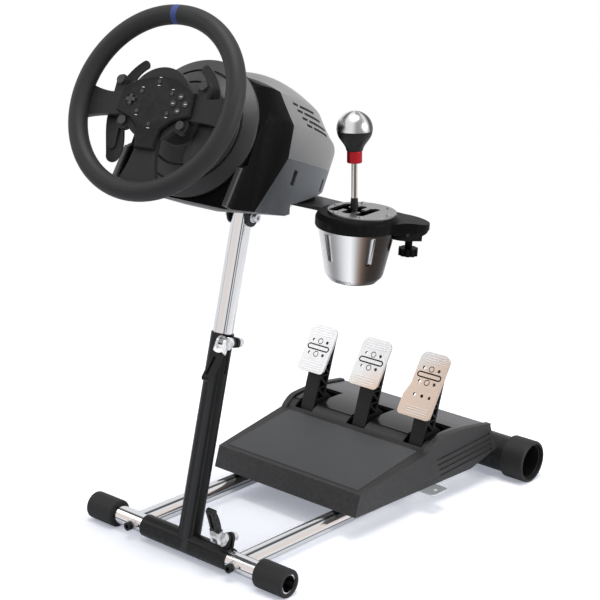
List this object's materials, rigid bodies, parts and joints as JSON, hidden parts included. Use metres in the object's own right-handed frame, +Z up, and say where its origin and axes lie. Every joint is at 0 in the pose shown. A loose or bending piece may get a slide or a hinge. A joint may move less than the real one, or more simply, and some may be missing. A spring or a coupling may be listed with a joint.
{
  "type": "racing wheel stand",
  "caption": "Folding tubular floor stand with a height-adjustable post, carrying a steering wheel, an H-pattern gear shifter and a pedal set with sprung pedals.",
  "frame": {"origin": "on the floor, under the middle of the bounding box", "axes": "+X to the driver's right, +Y forward away from the driver, +Z up"},
  "size_m": [0.5134, 0.8098, 0.8047],
  "materials": {
    "chrome": "polished",
    "black_steel": "satin",
    "foot_rubber": "matte",
    "fastener": "zinc plated",
    "lever": "cast",
    "pedal_plastic": "fine grain",
    "foot_rest": "coarse grain",
    "pedal_deck": "semi-gloss",
    "pedal_plate": "brushed",
    "black_plastic": "satin",
    "silver_shell": "metallic",
    "grey_plastic": "satin",
    "light_trim": "satin",
    "rim_rubber": "grained",
    "stripe": "matte",
    "hub_gloss": "gloss",
    "buttons": "satin",
    "paddle": "brushed",
    "bucket": "brushed",
    "red_collar": "anodised",
    "knob": "gloss"
  },
  "bodies": {
    "frame": {"front_tube": "chrome", "front_foot_left": "foot_rubber", "front_foot_right": "foot_rubber", "rear_tube": "black_steel", "rear_foot_left": "foot_rubber", "rear_foot_right": "foot_rubber", "rail_left": "chrome", "rail_right": "chrome", "rail_bolts": "fastener", "pedal_strap": "fastener", "pedal_base": "pedal_plastic", "pedal_rod": "fastener", "foot_rest": "foot_rest", "pedal_deck": "pedal_deck"},
    "post": {"post_tube": "black_steel", "top_clamp_bolt": "fastener", "low_clamp_bolt": "fastener"},
    "upper_clamp": {"top_lever": "lever"},
    "lower_clamp": {"low_lever": "lever"},
    "column": {"slider_tube": "chrome", "plate_bracket": "black_steel", "bracket_bolt": "fastener", "wheel_plate": "black_steel", "base_front": "black_plastic", "base_shell": "silver_shell", "base_lower": "grey_plastic", "base_trim": "light_trim", "wheel_collar": "black_plastic", "shifter_arm": "black_steel", "arm_bolts": "fastener", "shifter_bucket": "bucket", "shifter_housing": "black_plastic", "shifter_clamp": "black_plastic", "shifter_gate": "bucket", "shifter_cradle": "black_plastic"},
    "wheel": {"rim_grip": "rim_rubber", "rim_stripe": "stripe", "wheel_spider": "black_plastic", "hub_plate": "hub_gloss", "hub_buttons": "buttons", "wheel_boss": "black_plastic"},
    "left_paddle": {"paddle_left": "paddle"},
    "right_paddle": {"paddle_right": "paddle"},
    "clutch": {"clutch_arm": "pedal_plastic", "clutch_plate": "pedal_plate"},
    "brake": {"brake_arm": "pedal_plastic", "brake_plate": "pedal_plate"},
    "throttle": {"throttle_arm": "pedal_plastic", "throttle_plate": "pedal_plate"},
    "gimbal": {"shifter_gimbal": "bucket"},
    "gear_lever": {"gear_stick": "chrome", "gear_collar": "red_collar", "gear_knob_base": "knob", "gear_knob_cap": "chrome"}
  },
  "joints": [
    {"name": "post_fold", "type": "hinge", "parent": "frame", "child": "post", "pos_m": [-0.04821, -0.22908, 0.021], "axis": [-1, 0, 0], "range_deg": [-8, 24]},
    {"name": "height_slide", "type": "slide", "parent": "post", "child": "column", "axis": [0, 0.2079, 0.9781], "range_m": [-0.095, 0.085]},
    {"name": "wheel_turn", "type": "hinge", "parent": "column", "child": "wheel", "pos_m": [-0.02074, -0.33456, 0.68418], "axis": [0.1091, -0.881, 0.4605], "range_deg": [-540, 540]},
    {"name": "left_paddle_pull", "type": "hinge", "parent": "wheel", "child": "left_paddle", "pos_m": [-0.06884, -0.32005, 0.67122], "axis": [-0.1029, 0.4507, 0.8867], "range_deg": [0, 6], "stiffness_Nm_per_rad": 1.2, "springref_deg": -6.88},
    {"name": "right_paddle_pull", "type": "hinge", "parent": "wheel", "child": "right_paddle", "pos_m": [0.02212, -0.30679, 0.67503], "axis": [0.1029, -0.4507, -0.8867], "range_deg": [0, 6], "stiffness_Nm_per_rad": 1.2, "springref_deg": -6.88},
    {"name": "clutch_press", "type": "hinge", "parent": "frame", "child": "clutch", "pos_m": [-0.04821, 0.16692, 0.06], "axis": [-1, 0, 0], "range_deg": [0, 22], "stiffness_Nm_per_rad": 18, "springref_deg": -6.88},
    {"name": "brake_press", "type": "hinge", "parent": "frame", "child": "brake", "pos_m": [-0.04821, 0.16692, 0.06], "axis": [-1, 0, 0], "range_deg": [0, 22], "stiffness_Nm_per_rad": 36, "springref_deg": -6.88},
    {"name": "throttle_press", "type": "hinge", "parent": "frame", "child": "throttle", "pos_m": [-0.04821, 0.16692, 0.06], "axis": [-1, 0, 0], "range_deg": [0, 22], "stiffness_Nm_per_rad": 12, "springref_deg": -6.88},
    {"name": "gear_across", "type": "hinge", "parent": "column", "child": "gimbal", "pos_m": [0.18425, -0.16454, 0.47157], "axis": [-0.1107, 0.9938, 0.0013], "range_deg": [-14, 14.5]},
    {"name": "gear_along", "type": "hinge", "parent": "gimbal", "child": "gear_lever", "pos_m": [0.18425, -0.16454, 0.47157], "axis": [-0.9928, -0.1106, -0.0463], "range_deg": [-13, 13]},
    {"name": "upper_clamp_open", "type": "hinge", "parent": "post", "child": "upper_clamp", "pos_m": [-0.02521, -0.18495, 0.32241], "axis": [-1, 0, 0], "range_deg": [0, 100]},
    {"name": "lower_clamp_open", "type": "hinge", "parent": "post", "child": "lower_clamp", "pos_m": [0.02479, -0.24192, 0.0544], "axis": [1, 0, 0], "range_deg": [0, 80]}
  ]
}
